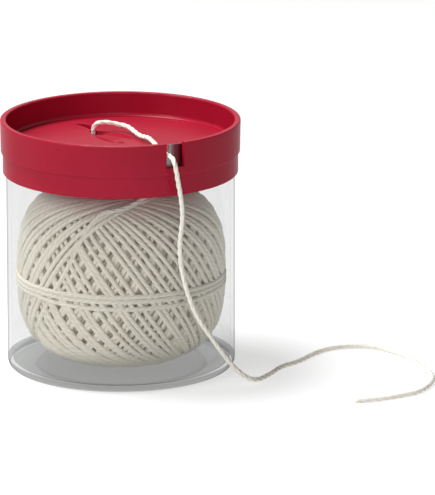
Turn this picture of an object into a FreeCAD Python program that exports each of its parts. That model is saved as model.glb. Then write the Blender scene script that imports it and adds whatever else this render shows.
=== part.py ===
"""Twine dispenser: a clear round jar, a push-on lid with a sunken deck, a steel cutter and a ball of twine.

Millimetres, +Z up. The origin is the centre of the foot ring, on the surface that the jar stands on.
-Y is the front. The cutter notch is at the front, turned towards +X.
"""
import FreeCAD, Part
import math
import os
import Sketcher
from FreeCAD import Placement, Rotation, Vector

SIZES = {
    "jar_radius": 37.5,
    "jar_wall": 1.4,
    "jar_floor": 2.0,
    "jar_height": 72.8,
    "jar_corner": 2.5,
    "jar_cove": 1.6,
    "foot_inner": 28.2,
    "foot_depth": 0.8,
    "neck_step": 0.55,
    "neck_height": 7.6,
    "bead_size": 0.15,
    "bead_height": 1.0,
    "bead_drop": 2.4,
    "lid_gap": 0.3,
    "skirt_wall": 1.2,
    "band_step": 0.6,
    "band_drop": 0.7,
    "rim_flare": 0.2,
    "rim_wall": 1.8,
    "rim_height": 8.2,
    "rim_round": 0.45,
    "edge_round": 0.25,
    "deck_thick": 1.7,
    "deck_cove": 1.3,
    "eye_across": -9.0,
    "eye_behind": 15.9,
    "eye_radius": 1.25,
    "slit_turn": 120.5,
    "slit_length": 12.3,
    "slit_far_radius": 7.2,
    "slit_near_radius": 30.0,
    "ramp_turn": -50.0,
    "ramp_length": 20.0,
    "ramp_depth": 1.1,
    "ramp_rise": 0.12,
    "ramp_near_floor": 0.8,
    "ramp_near_top": 1.6,
    "ramp_far_floor": 4.6,
    "ramp_far_top": 18.6,
    "pip_radius": 1.35,
    "pip_height": 0.35,
    "notch_turn": -63.1,
    "notch_width": 6.5,
    "blade_width": 10.6,
    "blade_thick": 0.5,
    "blade_seat": 0.6,
    "blade_below_rim": 0.9,
    "blade_wall_gap": 0.55,
    "blade_fit": 0.05,
    "slot_offset": -2.3,
    "slot_root_radius": 0.9,
    "slot_root_drop": 3.9,
    "slot_mouth_width": 2.2,
    "guide_width": 3.0,
    "guide_depth": 1.7,
    "guide_bite": 1.4,
    "guide_below_rim": 1.4,
    "ball_side_gap": 1.9,
    "ball_height": 62.2,
    "ball_gap": 0.3,
    "ball_side_radius": 62.0,
    "ball_side_turn": 15.0,
    "ball_cap_turn": 68.0,
    "ball_core_radius": 13.0,
    "ball_core_depth": 12.0,
    "ball_core_lip": 2.0,
    "twine_thick": 1.6,
    "wrap_count": 4,
    "wrap_drop": 2.9,
    "wrap_pitch": 1.5,
    "wrap_sink": 0.3,
}

doc = FreeCAD.newDocument("twine_dispenser")
sheet = doc.addObject("Spreadsheet::Sheet", "Sizes")
for row, (alias, number) in enumerate(SIZES.items(), start=1):
    sheet.set(f"A{row}", alias)
    sheet.set(f"B{row}", str(number))
    sheet.setAlias(f"B{row}", alias)
doc.recompute()


class Size:
    """A length or an angle: its number now, and the expression that ties it to the sheet."""

    def __init__(self, number, text):
        self.number = float(number)
        self.text = text

    def __add__(self, other):
        other = size(other)
        return Size(self.number + other.number, f"({self.text} + {other.text})")

    def __sub__(self, other):
        other = size(other)
        return Size(self.number - other.number, f"({self.text} - {other.text})")

    def __mul__(self, factor):
        factor = size(factor)
        return Size(self.number * factor.number, f"({self.text} * {factor.text})")

    def __truediv__(self, other):
        other = size(other)
        return Size(self.number / other.number, f"({self.text} / {other.text})")

    def __neg__(self):
        return Size(-self.number, f"(0 - {self.text})")


def size(value):
    """A sheet alias or a plain number as a Size."""
    if isinstance(value, Size):
        return value
    if isinstance(value, str):
        return Size(sheet.get(value), f"Sizes.{value}")
    return Size(value, repr(float(value)))


def sine(turn):
    return Size(math.sin(math.radians(size(turn).number)), f"sin({size(turn).text})")


def cosine(turn):
    return Size(math.cos(math.radians(size(turn).number)), f"cos({size(turn).text})")


# Heights and radii that several sub-parts share
SHOULDER = size("jar_height") - "neck_height"
NECK_RADIUS = size("jar_radius") - "neck_step"
JAR_BORE = size("jar_radius") - "jar_wall"
SKIRT_BOTTOM = SHOULDER + "lid_gap"
SKIRT_BORE = NECK_RADIUS + "bead_size" + "lid_gap"
SKIRT_RADIUS = SKIRT_BORE + "skirt_wall"
BAND_RADIUS = SKIRT_RADIUS + "band_step"
DECK_UNDER = size("jar_height") + "lid_gap"
DECK_TOP = DECK_UNDER + "deck_thick"
RIM_TOP = DECK_TOP + "rim_height"
BAND_BOTTOM = DECK_UNDER - "band_drop"
TRAY_RADIUS = BAND_RADIUS - "rim_wall"
BLADE_OUTER = TRAY_RADIUS - "blade_wall_gap"
BLADE_INNER = BLADE_OUTER - "blade_thick"
BLADE_BOTTOM = DECK_TOP - "blade_seat"
BLADE_TOP = RIM_TOP - "blade_below_rim"
SLOT_ROOT = RIM_TOP - "slot_root_drop"
GUIDE_TOP = RIM_TOP - "guide_below_rim"
BALL_RADIUS = JAR_BORE - "ball_side_gap"


def new_body(label):
    body = doc.addObject("PartDesign::Body", label)
    body.Label = label
    return body


def new_sketch(body, name, plane, offset=None):
    """A sketch on one of the body's own origin planes."""
    sketch = body.newObject("Sketcher::SketchObject", name)
    planes = [item for item in body.Origin.OriginFeatures if item.Role == plane]
    sketch.AttachmentSupport = [(planes[0], "")]
    sketch.MapMode = "FlatFace"
    if offset is not None:
        sketch.AttachmentOffset = offset
    return sketch


def pin_point(sketch, edge, end, across, up):
    """Holds an edge's end at a place, measured from the sketch's origin along both of its axes."""
    for kind, axis, value in (("DistanceX", -2, across), ("DistanceY", -1, up)):
        if abs(value.number) < 1e-9:
            sketch.addConstraint(Sketcher.Constraint("PointOnObject", edge, end, axis))
            continue
        index = sketch.addConstraint(Sketcher.Constraint(kind, -1, 1, edge, end, value.number))
        sketch.setExpression(f"Constraints[{index}]", value.text)


def draw_outline(sketch, corners, arcs=None):
    """Draws a closed outline through the corners. arcs gives the radius of an edge that is round.

    A positive radius turns left on the way to the next corner, a negative one turns right.
    """
    arcs = arcs or {}
    places = [(size(across), size(up)) for across, up in corners]
    count = len(places)
    for index in range(count):
        start = Vector(places[index][0].number, places[index][1].number, 0)
        end = Vector(places[(index + 1) % count][0].number, places[(index + 1) % count][1].number, 0)
        if index not in arcs:
            sketch.addGeometry(Part.LineSegment(start, end), False)
            continue
        radius = size(arcs[index])
        chord = end - start
        side = Vector(-chord.y, chord.x, 0).normalize()
        inward = 1.0 if radius.number > 0 else -1.0
        reach = abs(radius.number)
        sag = reach - math.sqrt(max(reach * reach - chord.Length ** 2 / 4, 0.0))
        middle = (start + end) * 0.5 - side * (sag * inward)
        sketch.addGeometry(Part.Arc(start, middle, end), False)
    for index in range(count):
        pin_point(sketch, index, start_end(sketch, index, places[index]), *places[index])
        follower = (index + 1) % count
        sketch.addConstraint(Sketcher.Constraint(
            "Coincident", index, start_end(sketch, index, places[follower]),
            follower, start_end(sketch, follower, places[follower])))
        if index in arcs:
            radius = size(arcs[index])
            if radius.number < 0:
                radius = -radius
            held = sketch.addConstraint(Sketcher.Constraint("Radius", index, radius.number))
            sketch.setExpression(f"Constraints[{held}]", radius.text)


def start_end(sketch, edge, place):
    """1 or 2: the end of an edge that lies at the place. An arc may be stored the other way round."""
    target = Vector(place[0].number, place[1].number, 0)
    first = sketch.getPoint(edge, 1)
    second = sketch.getPoint(edge, 2)
    return 1 if (first - target).Length <= (second - target).Length else 2


def add_feature(body, kind, name, **values):
    feature = body.newObject(f"PartDesign::{kind}", name)
    for key, value in values.items():
        setattr(feature, key, value)
    body.Tip = feature
    return feature


def round_edges(body, name, radius, wanted):
    """Rounds the edges of the body's tip that wanted() picks."""
    doc.recompute()
    base = body.Tip
    names = [f"Edge{number}" for number, edge in enumerate(base.Shape.Edges, start=1) if wanted(edge)]
    if not names:
        raise ValueError(f"{name}: no edge to round")
    fillet = add_feature(body, "Fillet", name, Base=(base, names))
    fillet.Radius = size(radius).number
    fillet.setExpression("Radius", size(radius).text)
    return fillet


def ring_edge(radius, height, slack=0.02):
    """Picks circles about the Z axis, whole or in part, of a radius and at a height."""
    radius = size(radius).number
    height = size(height).number

    def wanted(edge):
        curve = edge.Curve
        if not isinstance(curve, Part.Circle):
            return False
        on_axis = math.hypot(curve.Center.x, curve.Center.y) < slack
        return on_axis and abs(curve.Radius - radius) < slack and abs(curve.Center.z - height) < slack

    return wanted


def revolve(body, name, corners, arcs=None):
    """Turns an outline, given as radius and height, about the body's Z axis."""
    sketch = new_sketch(body, f"{name}_outline", "XZ_Plane")
    draw_outline(sketch, corners, arcs)
    feature = add_feature(body, "Revolution", name, Profile=sketch)
    feature.ReferenceAxis = (sketch, ["V_Axis"])
    feature.Angle = 360.0
    return feature


def turned(body, degrees):
    """Turns a whole body about Z, so that its own -Y faces the given direction."""
    body.Placement = Placement(Vector(0, 0, 0), Rotation(Vector(0, 0, 1), size(degrees).number))
    body.setExpression("Placement.Rotation.Angle", size(degrees).text)


def cut_through(body, name, corners, low, high, arcs=None, turn=None, along=None, aside=None):
    """Cuts an outline in a horizontal plane out of the body, between two heights."""
    sketch = level_sketch(body, f"{name}_outline", low, turn, along, aside)
    draw_outline(sketch, corners, arcs)
    cut_upward(body, name, sketch, size(high) - size(low))


def cut_upward(body, name, sketch, depth):
    pocket = add_feature(body, "Pocket", name, Profile=sketch)
    pocket.Length = depth.number
    pocket.setExpression("Length", depth.text)
    pocket.Reversed = True


def draw_circle(sketch, across, up, radius):
    radius = size(radius)
    circle = Part.Circle(Vector(size(across).number, size(up).number, 0), Vector(0, 0, 1), radius.number)
    index = sketch.addGeometry(circle, False)
    pin_point(sketch, index, 3, size(across), size(up))
    held = sketch.addConstraint(Sketcher.Constraint("Radius", index, radius.number))
    sketch.setExpression(f"Constraints[{held}]", radius.text)


def level_sketch(body, name, height, turn=None, along=None, aside=None):
    """A horizontal sketch at a height, turned about Z so that its own X axis points along turn."""
    sketch = new_sketch(body, name, "XY_Plane")
    sketch.AttachmentOffset = Placement(
        Vector(size(along or 0.0).number, size(aside or 0.0).number, size(height).number),
        Rotation(Vector(0, 0, 1), size(turn or 0.0).number))
    sketch.setExpression("AttachmentOffset.Base.z", size(height).text)
    if along is not None:
        sketch.setExpression("AttachmentOffset.Base.x", size(along).text)
        sketch.setExpression("AttachmentOffset.Base.y", size(aside).text)
    if turn is not None:
        sketch.setExpression("AttachmentOffset.Rotation.Angle", size(turn).text)
    return sketch


def make_jar():
    """The clear moulded jar: foot ring, thick floor, straight wall, and a thinner neck under the lid."""
    body = new_body("jar")
    foot_step = size("jar_corner") + 1.0
    bead_low = size("jar_height") - "bead_drop" - "bead_height"
    bead_high = size("jar_height") - "bead_drop"
    bead_radius = NECK_RADIUS + "bead_size"
    slope = size("bead_height") * 0.3
    revolve(body, "jar_shell", [
        (0.0, "foot_depth"),
        (size("foot_inner") - "foot_depth", "foot_depth"),
        ("foot_inner", 0.0),
        ("jar_radius", 0.0),
        ("jar_radius", SHOULDER),
        (NECK_RADIUS, SHOULDER),
        (NECK_RADIUS, bead_low),
        (bead_radius, bead_low + slope),
        (bead_radius, bead_high - slope),
        (NECK_RADIUS, bead_high),
        (NECK_RADIUS, "jar_height"),
        (JAR_BORE, "jar_height"),
        (JAR_BORE, "jar_floor"),
        (0.0, "jar_floor"),
    ])
    round_edges(body, "bottom_corner", "jar_corner", ring_edge("jar_radius", 0.0))
    round_edges(body, "floor_cove", "jar_cove", ring_edge(JAR_BORE, "jar_floor"))
    round_edges(body, "mouth_inside", "edge_round", ring_edge(JAR_BORE, "jar_height"))
    round_edges(body, "mouth_outside", "edge_round", ring_edge(NECK_RADIUS, "jar_height"))
    round_edges(body, "shoulder_edge", "edge_round", ring_edge("jar_radius", SHOULDER))
    return body


def make_lid():
    """The lid, one moulding: skirt, proud band, high rim and a deck sunk below it."""
    body = new_body("lid")
    rim_radius = BAND_RADIUS + "rim_flare"
    revolve(body, "lid_shell", [
        (0.0, DECK_UNDER),
        (SKIRT_BORE, DECK_UNDER),
        (SKIRT_BORE, SKIRT_BOTTOM),
        (SKIRT_RADIUS, SKIRT_BOTTOM),
        (SKIRT_RADIUS, BAND_BOTTOM),
        (BAND_RADIUS, BAND_BOTTOM),
        (rim_radius, RIM_TOP),
        (TRAY_RADIUS, RIM_TOP),
        (TRAY_RADIUS, DECK_TOP),
        (0.0, DECK_TOP),
    ])
    round_edges(body, "deck_cove_round", "deck_cove", ring_edge(TRAY_RADIUS, DECK_TOP))
    round_edges(body, "rim_inside", "rim_round", ring_edge(TRAY_RADIUS, RIM_TOP))
    round_edges(body, "rim_outside", "rim_round", ring_edge(rim_radius, RIM_TOP))
    round_edges(body, "band_edge", "edge_round", ring_edge(BAND_RADIUS, BAND_BOTTOM))
    round_edges(body, "skirt_outside", "edge_round", ring_edge(SKIRT_RADIUS, SKIRT_BOTTOM))
    round_edges(body, "skirt_inside", "edge_round", ring_edge(SKIRT_BORE, SKIRT_BOTTOM))
    add_blade_guides(body)
    half = size("notch_width") * 0.5
    inside = TRAY_RADIUS - 1.0
    outside = rim_radius + 1.0
    cut_through(body, "notch", [
        (inside, -half), (outside, -half), (outside, half), (inside, half),
    ], DECK_TOP, RIM_TOP + 1.0, turn="notch_turn")
    cut_slit(body)
    cut_ramp(body)
    add_gate_pip(body)
    return body


def add_blade_guides(body):
    """Two posts inside the rim, beside the notch, each with a groove that the blade slides down into."""
    groove_inner = BLADE_INNER - "blade_fit"
    groove_outer = BLADE_OUTER + "blade_fit"
    groove_half = size("blade_width") * 0.5 + "blade_fit"
    post_near = groove_half - "guide_bite"
    post_far = post_near + "guide_width"
    post_inner = BLADE_INNER - "guide_depth"
    post_outer = TRAY_RADIUS + size("rim_wall") * 0.5
    tall = GUIDE_TOP - BLADE_BOTTOM
    for side, near, far in (("right", post_near, post_far), ("left", -post_far, -post_near)):
        sketch = level_sketch(body, f"guide_{side}_outline", BLADE_BOTTOM, "notch_turn")
        draw_outline(sketch, [(post_inner, near), (post_outer, near), (post_outer, far), (post_inner, far)])
        pad = add_feature(body, "Pad", f"guide_{side}", Profile=sketch)
        pad.Length = tall.number
        pad.setExpression("Length", tall.text)
    cut_through(body, "blade_groove", [
        (groove_inner, -groove_half), (groove_outer, -groove_half),
        (groove_outer, groove_half), (groove_inner, groove_half),
    ], BLADE_BOTTOM, RIM_TOP + 1.0, turn="notch_turn")


def cut_slit(body):
    """The crescent slit and the round eye at its end, which the twine comes up through."""
    low = DECK_UNDER - 1.0
    high = DECK_TOP + 1.0
    cut_through(body, "slit", [(0.0, 0.0), ("slit_length", 0.0)], low, high,
                arcs={0: "slit_far_radius", 1: -size("slit_near_radius")},
                turn="slit_turn", along="eye_across", aside="eye_behind")
    sketch = level_sketch(body, "eye_outline", low, along="eye_across", aside="eye_behind")
    draw_circle(sketch, 0.0, 0.0, "eye_radius")
    cut_upward(body, "eye", sketch, high - low)


def cut_ramp(body):
    """The scoop that the twine leaves the eye by. It is deep at the eye, fans out and rises to the deck."""
    near = ramp_section(body, "ramp_near", 0.0, "ramp_near_floor", "ramp_near_top", -size("ramp_depth"))
    far = ramp_section(body, "ramp_far", "ramp_length", "ramp_far_floor", "ramp_far_top", "ramp_rise")
    add_feature(body, "SubtractiveLoft", "ramp", Profile=near, Sections=[far], Ruled=True)


def ramp_section(body, name, distance, half_floor, half_top, floor):
    """An upright outline across the scoop, at a distance from the eye. Its top is above the deck."""
    distance = size(distance)
    half_floor = size(half_floor)
    half_top = size(half_top)
    above = 1.0
    sketch = new_sketch(body, name, "YZ_Plane")
    base = {
        "x": size("eye_behind") + distance * sine("ramp_turn"),
        "y": DECK_TOP,
        "z": size("eye_across") + distance * cosine("ramp_turn"),
    }
    turn = size("ramp_turn")
    sketch.AttachmentOffset = Placement(
        Vector(*(value.number for value in base.values())), Rotation(Vector(0, 1, 0), turn.number))
    for axis, value in base.items():
        sketch.setExpression(f"AttachmentOffset.Base.{axis}", value.text)
    sketch.setExpression("AttachmentOffset.Rotation.Angle", turn.text)
    draw_outline(sketch, [(-half_top, above), (-half_floor, floor), (half_floor, floor), (half_top, above)])
    return sketch


def add_gate_pip(body):
    """The small dome that the moulding gate leaves in the middle of the deck."""
    radius = size("pip_radius")
    tall = size("pip_height")
    dome = (radius * radius + tall * tall) / (tall * 2.0)
    base = DECK_TOP - size("deck_thick") * 0.5
    revolve(body, "gate_pip", [
        (0.0, base), (radius, base), (radius, DECK_TOP), (0.0, DECK_TOP + tall),
    ], arcs={2: dome})


def make_blade():
    """The steel cutter plate, with a tapered slot whose round root holds the twine."""
    body = new_body("cutter_blade")
    half = size("blade_width") * 0.5
    mouth = size("slot_mouth_width") * 0.5
    middle = size("slot_offset")
    above = BLADE_TOP + 1.0
    plate = upright_sketch(body, "plate_outline", [
        (-half, BLADE_BOTTOM), (half, BLADE_BOTTOM), (half, BLADE_TOP), (-half, BLADE_TOP),
    ])
    pad = add_feature(body, "Pad", "plate", Profile=plate)
    pad.Length = size("blade_thick").number
    pad.setExpression("Length", size("blade_thick").text)
    root = size("slot_root_radius")
    slot = upright_sketch(body, "slot_outline", [
        (middle - root, SLOT_ROOT),
        (middle + root, SLOT_ROOT),
        (middle + mouth, above),
        (middle - mouth, above),
    ])
    cut_outward(body, "slot", slot)
    eye = upright_sketch(body, "slot_root_outline")
    draw_circle(eye, middle, SLOT_ROOT, root)
    cut_outward(body, "slot_root", eye)
    turned(body, "notch_turn")
    return body


def upright_sketch(body, name, corners=None):
    """A sketch in the plane of the blade's inner face, before the body is turned to the notch."""
    sketch = new_sketch(body, name, "YZ_Plane")
    sketch.AttachmentOffset = Placement(Vector(0, 0, BLADE_INNER.number), Rotation())
    sketch.setExpression("AttachmentOffset.Base.z", BLADE_INNER.text)
    if corners:
        draw_outline(sketch, corners)
    return sketch


def cut_outward(body, name, sketch):
    pocket = add_feature(body, "Pocket", name, Profile=sketch)
    pocket.Type = "ThroughAll"
    pocket.Reversed = True


def ball_outline():
    """The lower and the upper half of the ball's section, each from the waist to the core hole.

    The side, the shoulder and the cap are three arcs that meet smoothly. The ball's height is that of the
    caps carried on to the axis, and the lips of its core hole stand just clear of the jar's floor.
    """
    radius = BALL_RADIUS.number
    half = size("ball_height").number / 2
    side = size("ball_side_radius").number
    low = math.radians(size("ball_side_turn").number)
    high = math.radians(size("ball_cap_turn").number)
    core = size("ball_core_radius").number
    rise = (1 - math.sin(high)) / math.cos(high)
    fixed = side * math.sin(low) + rise * (radius - side + side * math.cos(low))
    shoulder = (half - fixed) / (math.sin(high) - math.sin(low) + rise * (math.cos(high) - math.cos(low)))
    side_x = radius - side
    shoulder_x = side_x + (side - shoulder) * math.cos(low)
    shoulder_z = (side - shoulder) * math.sin(low)
    cap = (shoulder_x + shoulder * math.cos(high)) / math.cos(high)
    cap_z = shoulder_z + shoulder * math.sin(high) - cap * math.sin(high)

    def on_arc(x, z, reach, angle):
        return x + reach * math.cos(angle), z + reach * math.sin(angle)

    core_angle = math.acos(core / cap)
    upper = [
        on_arc(side_x, 0, side, 0),
        on_arc(side_x, 0, side, low / 2),
        on_arc(side_x, 0, side, low),
        on_arc(shoulder_x, shoulder_z, shoulder, (low + high) / 2),
        on_arc(shoulder_x, shoulder_z, shoulder, high),
        on_arc(0, cap_z, cap, (high + core_angle) / 2),
        on_arc(0, cap_z, cap, core_angle),
    ]
    lip = core + size("ball_core_lip").number
    lowest = cap_z + math.sqrt(cap * cap - lip * lip)
    middle = size("jar_floor").number + size("ball_gap").number + lowest
    top = [Vector(x, 0, middle + z) for x, z in upper]
    bottom = [Vector(x, 0, middle - z) for x, z in upper]
    return bottom, top


def make_ball():
    """The ball of wound twine, with a hollow at each end of its core and the last turns round its waist."""
    bottom, top = ball_outline()
    edges = [Part.Arc(*bottom[step:step + 3]).toShape() for step in (0, 2, 4)]
    edges += [Part.Arc(*top[step:step + 3]).toShape() for step in (0, 2, 4)]
    sink = Vector(0, 0, size("ball_core_depth").number)
    centre_up = Vector(0, 0, top[-1].z)
    centre_down = Vector(0, 0, bottom[-1].z)
    corners = [top[-1], top[-1] - sink, centre_up - sink, centre_down + sink, bottom[-1] + sink, bottom[-1]]
    edges += [Part.makeLine(start, end) for start, end in zip(corners, corners[1:])]
    face = Part.Face(Part.Wire(Part.__sortEdges__(edges)))
    ball = face.revolve(Vector(0, 0, 0), Vector(0, 0, 1), 360)
    core = size("ball_core_radius").number
    lips = [edge for edge in ball.Edges if isinstance(edge.Curve, Part.Circle)
            and abs(edge.Curve.Radius - core) < 0.01
            and min(abs(edge.Curve.Center.z - z) for z in (top[-1].z, bottom[-1].z)) < 0.01]
    ball = ball.makeFillet(size("ball_core_lip").number, lips)
    count = int(size("wrap_count").number)
    first = top[0].z - size("wrap_drop").number - (count - 1) / 2 * size("wrap_pitch").number
    wraps = []
    for index in range(count):
        centre = Vector(0, 0, first + index * size("wrap_pitch").number)
        ring = BALL_RADIUS - "wrap_sink"
        wraps.append(Part.makeTorus(ring.number, size("twine_thick").number / 2, centre))
    ball = ball.fuse(wraps).removeSplitter()
    return add_shape("twine_ball", ball)


def add_shape(label, shape):
    feature = doc.addObject("Part::Feature", label)
    feature.Label = label
    feature.Shape = shape
    return feature


def cord_wire(label, route):
    """Straight runs joined by tangent arcs, each as large as the shorter of its two runs allows."""
    points = [Vector(*place) for place in route]
    edges = []
    last = points[0]
    radii = []
    for before, corner, after in zip(points, points[1:], points[2:]):
        incoming = (corner - before).normalize()
        outgoing = (after - corner).normalize()
        turn = incoming.getAngle(outgoing)
        trim = 0.45 * min((corner - before).Length, (after - corner).Length)
        radii.append(trim / math.tan(turn / 2))
        start = corner - incoming * trim
        end = corner + outgoing * trim
        bisector = (end - corner + start - corner).normalize()
        half_turn = turn / 2
        middle = corner + bisector * (radii[-1] * (1 / math.cos(half_turn) - 1))
        edges.append(Part.makeLine(last, start))
        edges.append(Part.Arc(start, middle, end).toShape())
        last = end
    edges.append(Part.makeLine(last, points[-1]))
    print(label, "radii", " ".join(f"{radius:.1f}" for radius in radii))
    return Part.Wire(edges)


def make_cord(label, route):
    """A round tube along a route, as one closed solid."""
    wire = cord_wire(label, route)
    thick = size("twine_thick").number
    start = Vector(*route[0])
    heading = Vector(*route[1]) - start
    ring = Part.Wire(Part.makeCircle(thick / 2, start, heading))
    tube = wire.makePipeShell([ring], True, False)
    section = math.pi * thick * thick / 4
    print(label, f"length {wire.Length:.1f}, volume over section {tube.Volume / section:.1f}")
    return add_shape(label, tube)


# The twine inside the jar: off the front of the ball, over its top and up into the eye
LEAD_ROUTE = [
    (-6.5, -25.2, 57.6),
    (-1.0, -25.4, 58.2),
    (4.5, -23.0, 60.0),
    (9.0, -18.5, 61.6),
    (10.5, -11.5, 63.6),
    (8.5, -4.5, 65.2),
    (3.5, 1.5, 66.2),
    (-2.5, 6.5, 66.8),
    (-7.4, 11.6, 68.2),
    (-9.0, 15.9, 71.6),
    (-9.0, 15.9, 74.6),
]

# The free twine: out of the eye, over the deck, through the cutter, down the front and along the table
TAIL_ROUTE = [
    (-9.0, 15.9, 74.6),
    (-9.0, 15.9, 76.1),
    (-7.8, 15.8, 77.7),
    (-4.6, 15.7, 78.0),
    (-0.6, 15.7, 77.2),
    (2.6, 13.2, 77.1),
    (4.9, 8.0, 76.3),
    (6.9, 3.4, 76.0),
    (9.0, -0.6, 76.7),
    (10.6, -6.0, 76.6),
    (11.9, -13.4, 76.9),
    (12.0, -21.0, 77.7),
    (12.9, -30.3, 78.9),
    (15.9, -36.4, 79.3),
    (17.1, -38.6, 78.3),
    (17.8, -39.4, 75.4),
    (18.4, -38.2, 71.0),
    (19.4, -36.8, 65.4),
    (20.0, -36.3, 58.6),
    (18.8, -36.7, 50.6),
    (19.3, -36.4, 42.0),
    (21.3, -36.1, 33.6),
    (24.3, -34.9, 25.2),
    (28.8, -32.0, 17.8),
    (33.6, -29.6, 10.2),
    (38.4, -27.6, 4.0),
    (43.4, -26.4, 0.85),
    (48.6, -18.6, 0.85),
    (52.3, -9.4, 0.85),
    (58.8, -3.2, 0.85),
    (64.0, 6.6, 0.85),
    (70.0, 13.4, 0.85),
    (77.4, 15.4, 0.85),
    (84.6, 14.4, 0.85),
    (91.2, 7.6, 0.85),
    (96.4, 0.2, 0.85),
    (98.4, -9.8, 0.85),
    (102.4, -19.6, 0.85),
    (101.0, -30.2, 0.85),
    (96.2, -40.0, 0.85),
    (88.4, -44.8, 0.85),
    (81.6, -48.2, 0.85),
    (75.4, -49.8, 0.85),
]


def check_document():
    """Stops if any object failed, then gives each sub-part whose shape is sound."""
    doc.recompute()
    for item in doc.Objects:
        if "Invalid" in item.State or "Error" in item.State:
            raise RuntimeError(f"{item.Name} failed: {item.State}")
    for item in NODES:
        if item.Shape.isNull() or not item.Shape.isValid():
            raise RuntimeError(f"{item.Label} has no sound shape")
        print(f"{item.Label}: {len(item.Shape.Solids)} solid, {item.Shape.Volume:.1f} mm3")


NODES = [
    make_jar(),
    make_lid(),
    make_blade(),
    make_ball(),
    make_cord("twine_lead", LEAD_ROUTE),
    make_cord("twine_tail", TAIL_ROUTE),
]
check_document()
os.makedirs("parts", exist_ok=True)
for node in NODES:
    node.Shape.exportStep(f"parts/{node.Label}.step")
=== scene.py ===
"""Twine dispenser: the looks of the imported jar, lid, cutter and twine. Metres, +Z up, the front is -Y."""
import math
import bpy
import numpy as np
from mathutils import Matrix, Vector


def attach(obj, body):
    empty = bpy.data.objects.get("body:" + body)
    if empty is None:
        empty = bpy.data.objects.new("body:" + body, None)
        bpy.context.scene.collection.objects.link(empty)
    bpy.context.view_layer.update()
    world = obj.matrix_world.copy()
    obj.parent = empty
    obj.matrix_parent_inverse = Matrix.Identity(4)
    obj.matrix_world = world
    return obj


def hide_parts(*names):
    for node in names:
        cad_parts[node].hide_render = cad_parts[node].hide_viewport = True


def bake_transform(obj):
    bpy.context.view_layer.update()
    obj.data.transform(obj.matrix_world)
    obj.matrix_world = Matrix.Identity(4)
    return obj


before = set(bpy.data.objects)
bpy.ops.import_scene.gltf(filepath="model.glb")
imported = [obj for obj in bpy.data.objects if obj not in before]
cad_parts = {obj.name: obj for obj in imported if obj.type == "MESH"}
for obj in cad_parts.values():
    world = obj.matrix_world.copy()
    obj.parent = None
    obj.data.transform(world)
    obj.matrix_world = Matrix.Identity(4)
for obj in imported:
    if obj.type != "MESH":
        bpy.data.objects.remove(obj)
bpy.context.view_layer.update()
MM = 0.001
SEED = 7


# Materials
class Look:
    """A material and short ways to add and link its nodes."""

    def __init__(self, name):
        self.mat = bpy.data.materials.new(name)
        self.mat.use_nodes = True
        self.tree = self.mat.node_tree
        self.shader = self.tree.nodes["Principled BSDF"]
        self.out = self.tree.nodes["Material Output"]

    def add(self, kind, **values):
        node = self.tree.nodes.new(kind)
        for key, value in values.items():
            setattr(node, key, value)
        return node

    def link(self, source, target):
        self.tree.links.new(source, target)

    def set(self, **values):
        for key, value in values.items():
            self.shader.inputs[key.replace("_", " ")].default_value = value

    def math(self, operation, first, second=None, clamp=False):
        node = self.add("ShaderNodeMath", operation=operation, use_clamp=clamp)
        for index, value in enumerate((first, second)):
            if value is None:
                continue
            if isinstance(value, (int, float)):
                node.inputs[index].default_value = value
            else:
                self.link(value, node.inputs[index])
        return node.outputs[0]

    def place(self):
        """Where the point is on the object, in metres."""
        return self.add("ShaderNodeTexCoord").outputs["Object"]

    def normal(self):
        """The surface's direction, without its bumps."""
        return self.add("ShaderNodeNewGeometry").outputs["Normal"]

    def parts(self, vector):
        """The vector's X, Y and Z."""
        node = self.add("ShaderNodeSeparateXYZ")
        self.link(vector, node.inputs[0])
        return node.outputs

    def facing(self, normal=None):
        """0 where the surface is seen straight on, 1 where it is seen edge on."""
        node = self.add("ShaderNodeLayerWeight")
        node.inputs["Blend"].default_value = 0.5
        if normal is not None:
            self.link(normal, node.inputs["Normal"])
        return node.outputs["Facing"]

    def noise(self, vector, scale, detail, roughness=0.55):
        node = self.add("ShaderNodeTexNoise")
        node.inputs["Scale"].default_value = scale
        node.inputs["Detail"].default_value = detail
        node.inputs["Roughness"].default_value = roughness
        self.link(vector, node.inputs["Vector"])
        return node.outputs["Fac"]

    def mapped(self, vector, scale):
        node = self.add("ShaderNodeMapping")
        node.inputs["Scale"].default_value = scale
        self.link(vector, node.inputs["Vector"])
        return node.outputs["Vector"]

    def smooth_range(self, value, zero_at, one_at):
        """0 on one side and 1 on the other, with a smooth change between."""
        node = self.add("ShaderNodeMapRange", interpolation_type="SMOOTHSTEP")
        node.inputs["From Min"].default_value = zero_at
        node.inputs["From Max"].default_value = one_at
        self.link(value, node.inputs["Value"])
        return node.outputs["Result"]

    def ramp(self, factor, stops):
        """Colours, from (place, colour) rows."""
        node = self.add("ShaderNodeValToRGB")
        ramp = node.color_ramp
        while len(ramp.elements) < len(stops):
            ramp.elements.new(0.5)
        for element, (place, colour) in zip(ramp.elements, stops):
            element.position = place
            element.color = (*colour, 1.0)
        self.link(factor, node.inputs["Fac"])
        return node.outputs["Color"]

    def number_ramp(self, factor, stops):
        """Numbers, from (place, number) rows."""
        return self.ramp(factor, [(place, (number,) * 3) for place, number in stops])

    def tinted(self, share, colour, tint):
        """The colour, changed to the tint by the share."""
        node = self.add("ShaderNodeMix", data_type="RGBA")
        self.link(share, node.inputs["Factor"])
        self.link(colour, node.inputs["A"])
        node.inputs["B"].default_value = (*tint, 1.0)
        return node.outputs["Result"]

    def bump(self, height, strength, distance, base=None):
        node = self.add("ShaderNodeBump")
        node.inputs["Strength"].default_value = strength
        node.inputs["Distance"].default_value = distance
        self.link(height, node.inputs["Height"])
        if base is not None:
            self.link(base, node.inputs["Normal"])
        return node.outputs["Normal"]


RED_COLOURS = [(0.3, (0.335, 0.0062, 0.024)), (0.7, (0.365, 0.0076, 0.029))]
RED_ROUGHNESS = 0.24
RED_STREAKS = 0.03
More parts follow.
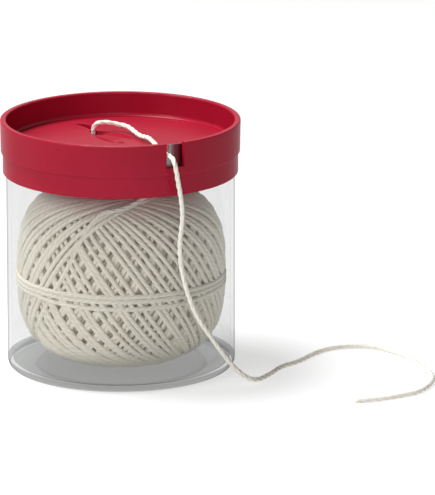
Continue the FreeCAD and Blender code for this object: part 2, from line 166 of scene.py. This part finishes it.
# The deck and other level faces are duller and show more of the white above them.
LEVEL_FACE = (0.994, 0.9995)
LEVEL_FACE_ROUGHNESS = 0.24
LEVEL_FACE_SPECULAR = 0.22
# Specular level of the other faces, from straight on to edge on.
RED_SPECULAR = [(0.0, 0.17), (0.35, 0.14), (0.55, 0.05), (0.75, 0.024), (1.0, 0.008)]


def red_plastic():
    """Satin moulded plastic with faint clouds, upright streaks and a fine grain."""
    look = Look("red_moulded_plastic")
    place = look.place()
    cloud = look.noise(place, scale=60.0, detail=3.0)
    look.link(look.ramp(cloud, RED_COLOURS), look.shader.inputs["Base Color"])
    streak = look.noise(look.mapped(place, (1.0, 1.0, 0.18)), scale=900.0, detail=3.0, roughness=0.6)
    level_face = look.smooth_range(look.parts(look.normal())["Z"], *LEVEL_FACE)
    rough = look.math("ADD", look.math("MULTIPLY", streak, RED_STREAKS), RED_ROUGHNESS)
    rough = look.math("ADD", rough, look.math("MULTIPLY", level_face, LEVEL_FACE_ROUGHNESS))
    look.link(rough, look.shader.inputs["Roughness"])
    grain = look.noise(place, scale=2600.0, detail=2.0)
    wave = look.noise(place, scale=130.0, detail=1.0)
    grained = look.bump(grain, strength=0.10, distance=0.00005)
    waved = look.bump(wave, strength=0.04, distance=0.0004, base=grained)
    look.link(waved, look.shader.inputs["Normal"])
    specular = look.add("ShaderNodeMix")
    look.link(look.number_ramp(look.facing(), RED_SPECULAR), specular.inputs["A"])
    specular.inputs["B"].default_value = LEVEL_FACE_SPECULAR
    look.link(level_face, specular.inputs["Factor"])
    look.link(specular.outputs["Result"], look.shader.inputs["Specular IOR Level"])
    look.set(IOR=1.45)
    return look.mat


STEEL_COLOURS = [(0.3, (0.20, 0.205, 0.195)), (0.7, (0.27, 0.275, 0.265))]
STEEL_PAINTED_SHADE = (0.14, 0.022, 0.032)
STEEL_ROUGHNESS = [(0.25, 0.26), (0.75, 0.40)]
# Painted shade with a red cast: the plate turns dark and red between these places, from left to right, as if
# in the shade of the red notch wall.
STEEL_PAINTED_SHADE_PLACES = (0.0153, 0.0176)


def blade_steel():
    """Drawn steel with upright lines. Its right part, deep in the notch, has painted shade with a red cast.
    """
    look = Look("cutter_steel")
    place = look.place()
    lines = look.noise(look.mapped(place, (1.0, 1.0, 0.05)), scale=2600.0, detail=3.0, roughness=0.65)
    # Painted shade: the right part of the plate is darkened with a red cast, where the notch shades it.
    painted_shade_share = look.smooth_range(look.parts(place)["X"], *STEEL_PAINTED_SHADE_PLACES)
    colour = look.tinted(painted_shade_share, look.ramp(lines, STEEL_COLOURS), STEEL_PAINTED_SHADE)
    look.link(colour, look.shader.inputs["Base Color"])
    look.link(look.number_ramp(lines, STEEL_ROUGHNESS), look.shader.inputs["Roughness"])
    look.link(look.bump(lines, strength=0.15, distance=0.00003), look.shader.inputs["Normal"])
    look.set(Metallic=1.0)
    return look.mat


# The jar's outer face lies further from its axis than this, and all its other faces nearer.
OUTER_FACE = 0.0366
# Colour of the light through a face, from straight on to edge on. The step is at the bore's edge.
WALL_COLOURS = [
    (0.0, (0.915, 0.917, 0.915)),
    (0.72, (0.905, 0.907, 0.906)),
    (0.738, (0.836, 0.839, 0.838)),
    (0.82, (0.830, 0.833, 0.832)),
    (0.87, (0.74, 0.745, 0.745)),
    (0.93, (0.62, 0.625, 0.625)),
    (1.0, (0.50, 0.51, 0.51)),
]
WALL_MIRROR = [
    (0.0, 0.010),
    (0.25, 0.026),
    (0.45, 0.065),
    (0.58, 0.105),
    (0.72, 0.06),
    (0.85, 0.03),
    (1.0, 0.02),
]
FLAT_FACE = (0.35, 0.9)
# Painted shade in the floor and foot, grey like the shadowed table seen through them: heights at which each
# tint begins and is full, and the tint.
FLOOR_PAINTED_SHADE = ((0.0065, 0.0025), (0.60, 0.605, 0.60))
UNDERSIDE_PAINTED_SHADE = ((0.0016, 0.0012), (0.92, 0.92, 0.92))
STANDING_RING_PAINTED_SHADE = ((0.0005, 0.0003), (0.80, 0.80, 0.80))
OUTER_FOOT_PAINTED_SHADE = ((0.0034, 0.0025), (0.47, 0.475, 0.47))


def clear_plastic():
    """Clear jar: light goes straight through, greyer at a slant, with painted shade in its floor and foot,
    and it mirrors a little.
    """
    look = Look("clear_jar_plastic")
    place = look.place()
    height = look.parts(place)["Z"]
    wave = look.noise(place, scale=45.0, detail=1.0)
    normal = look.bump(wave, strength=0.15, distance=0.0004)
    across = look.add("ShaderNodeVectorMath", operation="LENGTH")
    look.link(look.mapped(place, (1.0, 1.0, 0.0)), across.inputs[0])
    outside = look.math("GREATER_THAN", across.outputs["Value"], OUTER_FACE)
    flat = look.smooth_range(look.math("ABSOLUTE", look.parts(look.normal())["Z"]), *FLAT_FACE)
    slanted = look.math("MULTIPLY", look.facing(normal), outside)
    colour = look.ramp(slanted, WALL_COLOURS)
    # The floor, its underside, the standing ring and the outer foot are greyed by painted shade.
    painted_shades = ((FLOOR_PAINTED_SHADE, flat), (UNDERSIDE_PAINTED_SHADE, flat), (STANDING_RING_PAINTED_SHADE, 1.0), (OUTER_FOOT_PAINTED_SHADE, outside))
    for (heights, tint), where in painted_shades:
        share = look.math("MULTIPLY", look.smooth_range(height, *heights), where)
        colour = look.tinted(share, colour, tint)
    clear = look.add("ShaderNodeBsdfTransparent")
    look.link(colour, clear.inputs["Color"])
    gloss = look.add("ShaderNodeBsdfGlossy")
    gloss.inputs["Roughness"].default_value = 0.04
    gloss.inputs["Color"].default_value = (0.9, 0.92, 0.92, 1.0)
    look.link(normal, gloss.inputs["Normal"])
    wall = look.add("ShaderNodeMixShader")
    look.link(look.number_ramp(slanted, WALL_MIRROR), wall.inputs[0])
    look.link(clear.outputs[0], wall.inputs[1])
    look.link(gloss.outputs[0], wall.inputs[2])
    look.link(wall.outputs[0], look.out.inputs["Surface"])
    look.tree.nodes.remove(look.shader)
    return look.mat


PLIES = 3
# How many plies a line along the strand crosses in a millimetre.
PLIES_CROSSED = 0.42
FIBRES_IN_PLY = 7.0
FIBRE_STRETCH = 0.9


def cotton_twine(name, light, groove_shade_and_dark_tone, twist_depth):
    """Spun cotton: plies that wind round the strand, fibres along them, and painted shade in the grooves
    between the plies.
    """
    look = Look(name)
    lay = look.parts(look.add("ShaderNodeUVMap", uv_map="lay").outputs["UV"])
    turned = look.math("MULTIPLY", lay["X"], PLIES)
    phase = look.math("ADD", turned, look.math("MULTIPLY", lay["Y"], PLIES_CROSSED))
    ply = look.math("ABSOLUTE", look.math("SINE", look.math("MULTIPLY", phase, math.pi)))
    fibre_place = look.add("ShaderNodeCombineXYZ")
    look.link(look.math("MULTIPLY", phase, FIBRES_IN_PLY), fibre_place.inputs[0])
    look.link(look.math("MULTIPLY", lay["Y"], FIBRE_STRETCH), fibre_place.inputs[1])
    fibre = look.noise(fibre_place.outputs[0], scale=2.2, detail=3.0, roughness=0.6)
    patch = look.noise(look.place(), scale=260.0, detail=3.0)
    # The colour darkens in the grooves between the plies, which is painted shade; the fibre and patch noise
    # vary the tone at random.
    groove_shade_and_tone = look.math("ADD", look.math("MULTIPLY", ply, 0.35), look.math("MULTIPLY", fibre, 0.40))
    groove_shade_and_tone = look.math("ADD", groove_shade_and_tone, look.math("MULTIPLY", patch, 0.40), clamp=True)
    look.link(look.ramp(groove_shade_and_tone, [(0.25, groove_shade_and_dark_tone), (0.85, light)]), look.shader.inputs["Base Color"])
    height = look.math("ADD", look.math("POWER", ply, 0.6), look.math("MULTIPLY", fibre, 0.5))
    look.link(look.bump(height, twist_depth, distance=0.00022), look.shader.inputs["Normal"])
    look.set(Roughness=0.92, Specular_IOR_Level=0.15)
    look.set(Sheen_Weight=0.25, Sheen_Roughness=0.5, Sheen_Tint=(1.0, 0.98, 0.94, 1.0))
    return look.mat


def seen_white(tree):
    """1 on rays from the camera, off mirrors and through clear walls, and 0 on the rest."""
    path = tree.nodes.new("ShaderNodeLightPath")
    seen = path.outputs["Is Camera Ray"]
    for output in ("Is Glossy Ray", "Is Transmission Ray"):
        either = tree.nodes.new("ShaderNodeMath")
        either.operation = "MAXIMUM"
        tree.links.new(seen, either.inputs[0])
        tree.links.new(path.outputs[output], either.inputs[1])
        seen = either.outputs[0]
    return seen


def pale_floor(name, lift, bounce):
    """Pale surface, white to the camera and in mirrors and clear walls, that keeps the object's shadow."""
    look = Look(name)
    look.set(Base_Color=(0.48, 0.48, 0.48, 1.0), Roughness=0.9, Specular_IOR_Level=0.1)
    strength = look.add("ShaderNodeMapRange")
    strength.inputs["To Min"].default_value = bounce
    strength.inputs["To Max"].default_value = lift
    look.link(seen_white(look.tree), strength.inputs["Value"])
    glow = look.add("ShaderNodeEmission")
    look.link(strength.outputs["Result"], glow.inputs["Strength"])
    pale = look.add("ShaderNodeAddShader")
    look.link(look.shader.outputs[0], pale.inputs[0])
    look.link(glow.outputs[0], pale.inputs[1])
    look.link(pale.outputs[0], look.out.inputs["Surface"])
    return look.mat


# Meshes
def mesh_object(name, points, faces, material, uv=None):
    mesh = bpy.data.meshes.new(name)
    mesh.from_pydata([tuple(p) for p in points], [], [tuple(f) for f in faces])
    mesh.validate()
    if uv is not None:
        layer = mesh.uv_layers.new(name="lay")
        layer.data.foreach_set("uv", np.asarray(uv, np.float32).ravel())
    mesh.polygons.foreach_set("use_smooth", np.ones(len(mesh.polygons), bool))
    mesh.materials.append(material)
    made = bpy.data.objects.new(name, mesh)
    bpy.context.scene.collection.objects.link(made)
    return made


def unit(vectors):
    return vectors / np.maximum(np.linalg.norm(vectors, axis=-1, keepdims=True), 1e-12)


def directions(line):
    return unit(np.gradient(line, axis=0))


def carried_normals(line):
    """A sideways direction at each point of the line that turns no more than the line does."""
    along = directions(line)
    side = np.cross(along[0], (0.0, 0.0, 1.0))
    if np.linalg.norm(side) < 0.1:
        side = np.array((1.0, 0.0, 0.0))
    sides = []
    for step in along:
        side = side - step * (side @ step)
        side = side / np.linalg.norm(side)
        sides.append(side)
    return np.array(sides)


def lengths(line):
    return np.concatenate([[0.0], np.cumsum(np.linalg.norm(np.diff(line, axis=0), axis=1))])


def even(line, step):
    """The line again, with points about step apart."""
    along = lengths(line)
    places = np.linspace(0.0, along[-1], max(2, int(round(along[-1] / step)) + 1))
    return np.stack([np.interp(places, along, line[:, axis]) for axis in range(3)], axis=1)


def tube(line, radius, sides, outward):
    """Points, faces and lay coordinates (turns round, millimetres along) of a capped tube about a line."""
    along = directions(line)
    first = unit(outward - along * (outward * along).sum(1, keepdims=True))
    second = np.cross(along, first)
    angle = np.arange(sides) * 2.0 * math.pi / sides
    cosine = np.cos(angle)[None, :, None]
    sine = np.sin(angle)[None, :, None]
    ring = first[:, None, :] * cosine + second[:, None, :] * sine
    radius = np.broadcast_to(np.asarray(radius, float), (len(line),))[:, None, None]
    points = (line[:, None, :] + ring * radius).reshape(-1, 3)
    rows = np.arange(len(line) - 1)[:, None] * sides
    one = np.arange(sides)[None, :]
    two = (one + 1) % sides
    faces = np.stack([rows + one, rows + two, rows + sides + two, rows + sides + one], axis=-1)
    faces = faces.reshape(-1, 4).tolist()
    far = lengths(line) / MM
    share = np.arange(sides) / sides
    around = np.stack([share, share + 1.0 / sides, share + 1.0 / sides, share], axis=-1)[None]
    onward = np.stack([far[:-1], far[:-1], far[1:], far[1:]], axis=-1)[:, None, :]
    shape = (len(line) - 1, sides, 4)
    uv = np.stack([np.broadcast_to(around, shape), np.broadcast_to(onward, shape)], axis=-1).reshape(-1, 2)
    last = (len(line) - 1) * sides
    faces.append(list(range(sides))[::-1])
    faces.append([last + i for i in range(sides)])
    uv = np.concatenate([uv, np.zeros((2 * sides, 2))])
    return points, faces, uv


def joined(parts):
    """Several (points, faces, uv) as one."""
    points, faces, uv, start = [], [], [], 0
    for some_points, some_faces, some_uv in parts:
        points.append(some_points)
        faces += [[index + start for index in face] for face in some_faces]
        uv.append(some_uv)
        start += len(some_points)
    return np.concatenate(points), faces, np.concatenate(uv)


# Camera
CAMERA_PLACE = (0.0, -1.7409, 0.4985)
CAMERA_DOWN = 14.78
CAMERA_RIGHT = 1.0458
SENSOR_WIDTH = 36.0
FOCAL_LENGTH = 397.88


def add_camera():
    data = bpy.data.cameras.new("camera")
    camera = bpy.data.objects.new("camera", data)
    bpy.context.scene.collection.objects.link(camera)
    camera.location = CAMERA_PLACE
    camera.rotation_euler = (math.radians(90.0 - CAMERA_DOWN), 0.0, math.radians(-CAMERA_RIGHT))
    data.sensor_width = SENSOR_WIDTH
    data.lens = FOCAL_LENGTH
    data.clip_start = 0.05
    data.clip_end = 50.0
    bpy.context.scene.camera = camera


add_camera()

# Cords
CORD_STEP = 0.7 * MM
PLY_RADIUS = 0.47 * MM
PLY_OFFSET = 0.34 * MM
PLY_PITCH = 8.5 * MM

# Millimetres. The lead goes from the ball up to the lid's eye, the tail on over the cutter to its cut end.
LEAD_ROUTE = [
    (-6.5, -25.2, 57.6),
    (-1.0, -25.4, 58.2),
    (4.5, -23.0, 60.0),
    (9.0, -18.5, 61.6),
    (10.5, -11.5, 63.6),
    (8.5, -4.5, 65.2),
    (3.5, 1.5, 66.2),
    (-2.5, 6.5, 66.8),
    (-7.4, 11.6, 68.2),
    (-9.0, 15.9, 71.6),
    (-9.0, 15.9, 74.6),
]

TAIL_ROUTE = [
    (-9.0, 15.9, 74.6),
    (-9.0, 15.9, 76.1),
    (-7.8, 15.8, 77.7),
    (-4.6, 15.7, 78.0),
    (-0.6, 15.7, 77.2),
    (2.6, 13.2, 77.1),
    (4.9, 8.0, 76.3),
    (6.9, 3.4, 76.0),
    (9.0, -0.6, 76.7),
    (10.6, -6.0, 76.6),
    (11.9, -13.4, 76.9),
    (12.0, -21.0, 77.7),
    (12.9, -30.3, 78.9),
    (15.9, -36.4, 79.3),
    (17.1, -38.6, 78.3),
    (17.8, -39.4, 75.4),
    (18.4, -38.2, 71.0),
    (19.4, -36.8, 65.4),
    (20.0, -36.3, 58.6),
    (18.8, -36.7, 50.6),
    (19.3, -36.4, 42.0),
    (21.3, -36.1, 33.6),
    (24.3, -34.9, 25.2),
    (28.8, -32.0, 17.8),
    (33.6, -29.6, 10.2),
    (38.4, -27.6, 4.0),
    (43.4, -26.4, 0.85),
    (48.6, -18.6, 0.85),
    (52.3, -9.4, 0.85),
    (58.8, -3.2, 0.85),
    (64.0, 6.6, 0.85),
    (70.0, 13.4, 0.85),
    (77.4, 15.4, 0.85),
    (84.6, 14.4, 0.85),
    (91.2, 7.6, 0.85),
    (96.4, 0.2, 0.85),
    (98.4, -9.8, 0.85),
    (102.4, -19.6, 0.85),
    (101.0, -30.2, 0.85),
    (96.2, -40.0, 0.85),
    (88.4, -44.8, 0.85),
    (81.6, -48.2, 0.85),
    (75.4, -49.8, 0.85),
]


def route_line(name, route, step):
    """Points along the smooth NURBS line that the route's points control."""
    data = bpy.data.curves.new(name, "CURVE")
    data.dimensions = "3D"
    data.resolution_u = 24
    spline = data.splines.new("NURBS")
    spline.points.add(len(route) - 1)
    for point, place in zip(spline.points, route):
        point.co = (*(value * MM for value in place), 1.0)
    spline.order_u = 3
    spline.use_endpoint_u = True
    holder = bpy.data.objects.new(name, data)
    mesh = bpy.data.meshes.new_from_object(holder)
    line = np.array([v.co for v in mesh.vertices], float).reshape(-1, 3)
    bpy.data.meshes.remove(mesh)
    bpy.data.objects.remove(holder)
    bpy.data.curves.remove(data)
    return even(line, step)


def twisted(line):
    """The twine's plies laid round a line, as tubes."""
    along = directions(line)
    first = carried_normals(line)
    second = np.cross(along, first)
    far = lengths(line)
    parts = []
    for ply in range(PLIES):
        turn = 2.0 * math.pi * (far / PLY_PITCH + ply / PLIES)
        away = first * np.cos(turn)[:, None] + second * np.sin(turn)[:, None]
        parts.append(tube(line + away * PLY_OFFSET, PLY_RADIUS, 10, away))
    return joined(parts)


TWINE = cotton_twine("cotton_twine", (0.97, 0.94, 0.86), (0.82, 0.78, 0.68), twist_depth=0.35)
WOUND = cotton_twine("wound_cotton_twine", (0.98, 0.945, 0.84), (0.80, 0.745, 0.62), twist_depth=0.22)


def add_cord(name, node, route):
    """A free length of twine in place of its node."""
    line = route_line(name, route, CORD_STEP)
    points, faces, uv = twisted(line)
    cord = mesh_object(name, points, faces, TWINE, uv)
    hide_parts(node)
    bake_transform(cord)
    return line


lead_line = add_cord("twine_lead_strand", "twine_lead", LEAD_ROUTE[::-1])
add_cord("twine_tail_strand", "twine_tail", TAIL_ROUTE)


# Ball: millimetres and degrees
BALL_MIDDLE = 32.0
BALL_RADIUS = 34.3
BALL_HALF = 29.9
# 2 would make the ball's side an ellipse, and more makes it squarer.
BALL_POWER = 3.1
CORE_DEPTH = 4.8
CORE_HOLLOW = 9.0
STRAND = 0.79 * MM

# Each loop is tilted, and its highest point lies a step round from that of the loop before.
LOOPS = 70
LOOP_TILT = 56.0
LOOP_STEP = 5.3
PAIR_SHIFT = 0.17
STEP_SPREAD = 0.15
TILT_SPREAD = 0.5
WOBBLE = 0.10
WOBBLE_POINTS = 6
WIND_STEP = 4.4
LAST_PEAK = 50.0
LAST_TURN_END = -8.0
# Depths of the strand where no later loop, one, and two lie over it.
LEVELS = (0.75, 1.75, 3.2)
# A denser winding below.
UNDER_LOOPS = 95
UNDER_STEP = 3.8
UNDER_DEPTH = 3.25
UNDER_RISE = 1.1
# The last loop leaves the ball for the lead, and takes on the lead's last points.
LEAVE_MIDDLE = 14.0
LEAVE_WIDTH = 28.0
JOINED_POINTS = 7
SMOOTHED = (2, 12)

# The level turns, by their heights in front.
WRAP_START = 180.0
WRAP_HEIGHTS = (31.45, 29.95, 28.45)
WRAP_STEP = 4.0
WRAP_DEPTH = 0.35
# The last of them sags in front, as a cosine that comes to 0 at its reach.
WRAP_SAG = 1.1
SAG_REACH = 53.0
SAG_RATE = 1.7


def ball_point(turn, latitude, depth):
    """A point under the ball's surface. Angles are in radians, and turn is 0 in front and + to the right."""
    flat = np.maximum(np.abs(np.cos(latitude)), 1e-6)
    up = np.maximum(np.abs(np.sin(latitude)), 1e-6)
    reach = ((flat / (BALL_RADIUS - depth)) ** BALL_POWER
             + (up / (BALL_HALF - depth)) ** BALL_POWER) ** (-1.0 / BALL_POWER)
    across = reach * np.cos(latitude)
    height = reach * np.sin(latitude) + BALL_MIDDLE
    return np.stack([across * np.sin(turn), -across * np.cos(turn), height], axis=-1) * MM


def smooth_step(value, width):
    t = np.clip(value / width + 0.5, 0.0, 1.0)
    return t * t * (3.0 - 2.0 * t)


def winding(loops, step, seed, below=False):
    """A strand's line and radius, wound from its end backwards in tilted loops that step round the ball."""
    rng = np.random.default_rng(seed)
    back = np.arange(0.0, loops * 360.0, WIND_STEP)
    age = step * back / 360.0
    knots = np.arange(loops + 2)
    jitter = np.interp(back / 360.0, knots, rng.normal(0.0, STEP_SPREAD, len(knots)))
    pair_shift = 0.0 if below else PAIR_SHIFT
    pairing = pair_shift * np.cos(np.radians(back) / 2.0)
    turn = LAST_TURN_END - back
    apart = (turn - (LAST_PEAK - age + step * (jitter + pairing)) + 180.0) % 360.0 - 180.0
    tilt = LOOP_TILT + np.interp(back / 360.0, knots, rng.normal(0.0, TILT_SPREAD, len(knots)))
    latitude = np.arctan(np.tan(np.radians(tilt)) * np.cos(np.radians(apart)))
    wide = 2.0 * np.abs(apart)
    falling = apart > 0.0
    older = np.floor(age / 360.0)
    in_turn = age - 360.0 * older
    soft = 3.0 * LOOP_STEP
    under = np.where(falling, smooth_step(in_turn - wide, soft), smooth_step(in_turn + wide - 360.0, soft))
    level = 2.0 * older + under
    heights = rng.normal(0.0, 1.0, len(back) // WOBBLE_POINTS + 8)
    wobble = np.interp(np.arange(len(back)) / WOBBLE_POINTS, np.arange(len(heights)), heights)
    if below:
        depth = UNDER_DEPTH + UNDER_RISE * np.clip(1.0 - level, 0.0, 1.0)
        return ball_point(np.radians(turn), latitude, depth + WOBBLE * wobble), STRAND
    depth = np.interp(level, np.arange(len(LEVELS)), LEVELS)
    line = ball_point(np.radians(turn), latitude, depth + WOBBLE * wobble)
    leaving = smooth_step(LEAVE_MIDDLE - back, LEAVE_WIDTH)[:, None]
    line = line + (lead_line[-1] - line[0]) * leaving
    line = np.concatenate([lead_line[-1 - JOINED_POINTS:-1], line])
    radius = np.full(len(line), STRAND)
    radius[:JOINED_POINTS] = np.linspace(0.4 * STRAND, STRAND, JOINED_POINTS)
    start, stop = SMOOTHED
    for _ in range(3):
        line[start:stop] = (0.25 * line[start - 1:stop - 1] + 0.5 * line[start:stop]
                            + 0.25 * line[start + 1:stop + 1])
    return line, radius


def outward_of(line):
    return unit(line - np.array((0.0, 0.0, BALL_MIDDLE * MM)))


def waist_wraps():
    """The last turns, laid level round the ball: two side by side and one that sags a little in front."""
    turns = np.arange(WRAP_START, WRAP_START + 360.0 * len(WRAP_HEIGHTS), WRAP_STEP)
    middles = WRAP_START + 180.0 + 360.0 * np.arange(len(WRAP_HEIGHTS))
    height = np.interp(turns, middles, WRAP_HEIGHTS)
    near = np.interp((turns - WRAP_START) % 360.0, (0.0, 90.0, 270.0, 360.0), (0.0, 1.0, 1.0, 0.0))
    flat_height = np.array(WRAP_HEIGHTS)[((turns - WRAP_START) // 360.0).astype(int)]
    height = height + (flat_height - height) * near
    height = height + 0.12 * np.sin(np.radians(2.0 * turns) + height)
    last = turns > WRAP_START + 360.0 * (len(WRAP_HEIGHTS) - 1)
    from_front = (turns + 180.0) % 360.0 - 180.0
    sag = np.clip(np.cos(np.radians(SAG_RATE * from_front)), 0.0, 1.0)
    sag = np.where(np.abs(from_front) < SAG_REACH, sag, 0.0)
    height = height - np.where(last, WRAP_SAG * np.sqrt(sag), 0.0)
    line = ball_point(np.radians(turns), np.arctan2(height - BALL_MIDDLE, BALL_RADIUS), WRAP_DEPTH)
    return tube(line, STRAND, 8, outward_of(line))


def add_ball():
    """The ball's outer turns, all as one mesh."""
    line, radius = winding(LOOPS, LOOP_STEP, SEED)
    under_line, under_radius = winding(UNDER_LOOPS, UNDER_STEP, SEED + 1, below=True)
    points, faces, uv = joined([
        waist_wraps(),
        tube(line, radius, 8, outward_of(line)),
        tube(under_line, under_radius, 6, outward_of(under_line)),
    ])
    wound = mesh_object("twine_winding", points, faces, WOUND, uv)
    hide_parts("twine_ball")
    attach(wound, "ball_body")


def add_core():
    """The older turns below, as one crowned body with a hollow at each end."""
    latitude = np.radians(np.linspace(-66.0, 66.0, 61))
    outline = ball_point(np.zeros_like(latitude), latitude, CORE_DEPTH)
    radii = -outline[:, 1]
    heights = outline[:, 2]
    hollow = CORE_HOLLOW * MM
    radii = np.concatenate([[radii[0] * 0.8], radii, [radii[-1] * 0.8]])
    heights = np.concatenate([[heights[0] + hollow], heights, [heights[-1] - hollow]])
    sides = 72
    angle = np.arange(sides) * 2.0 * math.pi / sides
    points = np.stack([np.outer(radii, np.cos(angle)), np.outer(radii, np.sin(angle)),
                       np.repeat(heights[:, None], sides, axis=1)], axis=-1)
    faces = []
    for row in range(len(radii) - 1):
        for here in range(sides):
            after = (here + 1) % sides
            faces.append([row * sides + here, row * sides + after,
                          (row + 1) * sides + after, (row + 1) * sides + here])
    top = (len(radii) - 1) * sides
    faces.append(list(range(sides))[::-1])
    faces.append([top + here for here in range(sides)])
    uv = np.zeros((sum(len(face) for face in faces), 2))
    core = mesh_object("twine_core", points.reshape(-1, 3), faces, WOUND, uv)
    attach(core, "ball_body")


add_ball()
add_core()


# Lid, cutter and jar
def dress(node, material):
    """Gives a CAD node its finished material."""
    node.data.materials.clear()
    node.data.materials.append(material)


dress(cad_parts["lid"], red_plastic())
dress(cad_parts["cutter_blade"], blade_steel())
dress(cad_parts["jar"], clear_plastic())


# Stage and light
AMBIENT = 0.08
FLOOR_HALF = 6.0
# Name, place, aim, size and power of each lamp.
LAMPS = [
    ("key_left", (-0.75, -0.60, 0.60), (0.0, 0.0, 0.04), (0.5, 0.6), 5.3),
    ("fill_front", (0.08, -1.2, 0.30), (0.0, 0.0, 0.04), (0.6, 0.4), 2.75),
    ("overhead", (-0.32, 0.12, 1.0), (0.0, 0.0, 0.07), (0.45, 0.4), 11.5),
]


def add_floor():
    half = FLOOR_HALF
    corners = [(-half, -half, 0.0), (half, -half, 0.0), (half, half, 0.0), (-half, half, 0.0)]
    material = pale_floor("pale_floor", lift=0.60, bounce=0.42)
    floor = mesh_object("floor", corners, [(0, 1, 2, 3)], material)


def add_world():
    """White behind the object and in what it mirrors and lets through, with a dim surround to light it."""
    world = bpy.data.worlds.new("studio")
    world.use_nodes = True
    bpy.context.scene.world = world
    tree = world.node_tree
    background = tree.nodes["Background"]
    strength = tree.nodes.new("ShaderNodeMix")
    strength.inputs["A"].default_value = AMBIENT
    strength.inputs["B"].default_value = 1.0
    tree.links.new(seen_white(tree), strength.inputs["Factor"])
    background.inputs["Color"].default_value = (1.0, 1.0, 1.0, 1.0)
    tree.links.new(strength.outputs["Result"], background.inputs["Strength"])


def add_lamp(name, place, aim, size, energy):
    data = bpy.data.lights.new(name, "AREA")
    data.shape = "ELLIPSE"
    data.size, data.size_y = size
    data.energy = energy
    lamp = bpy.data.objects.new(name, data)
    bpy.context.scene.collection.objects.link(lamp)
    lamp.location = place
    lamp.rotation_euler = (Vector(aim) - Vector(place)).to_track_quat("-Z", "Y").to_euler()


add_floor()
add_world()
for lamp_row in LAMPS:
    add_lamp(*lamp_row)

bpy.context.scene.view_settings.view_transform = "Standard"
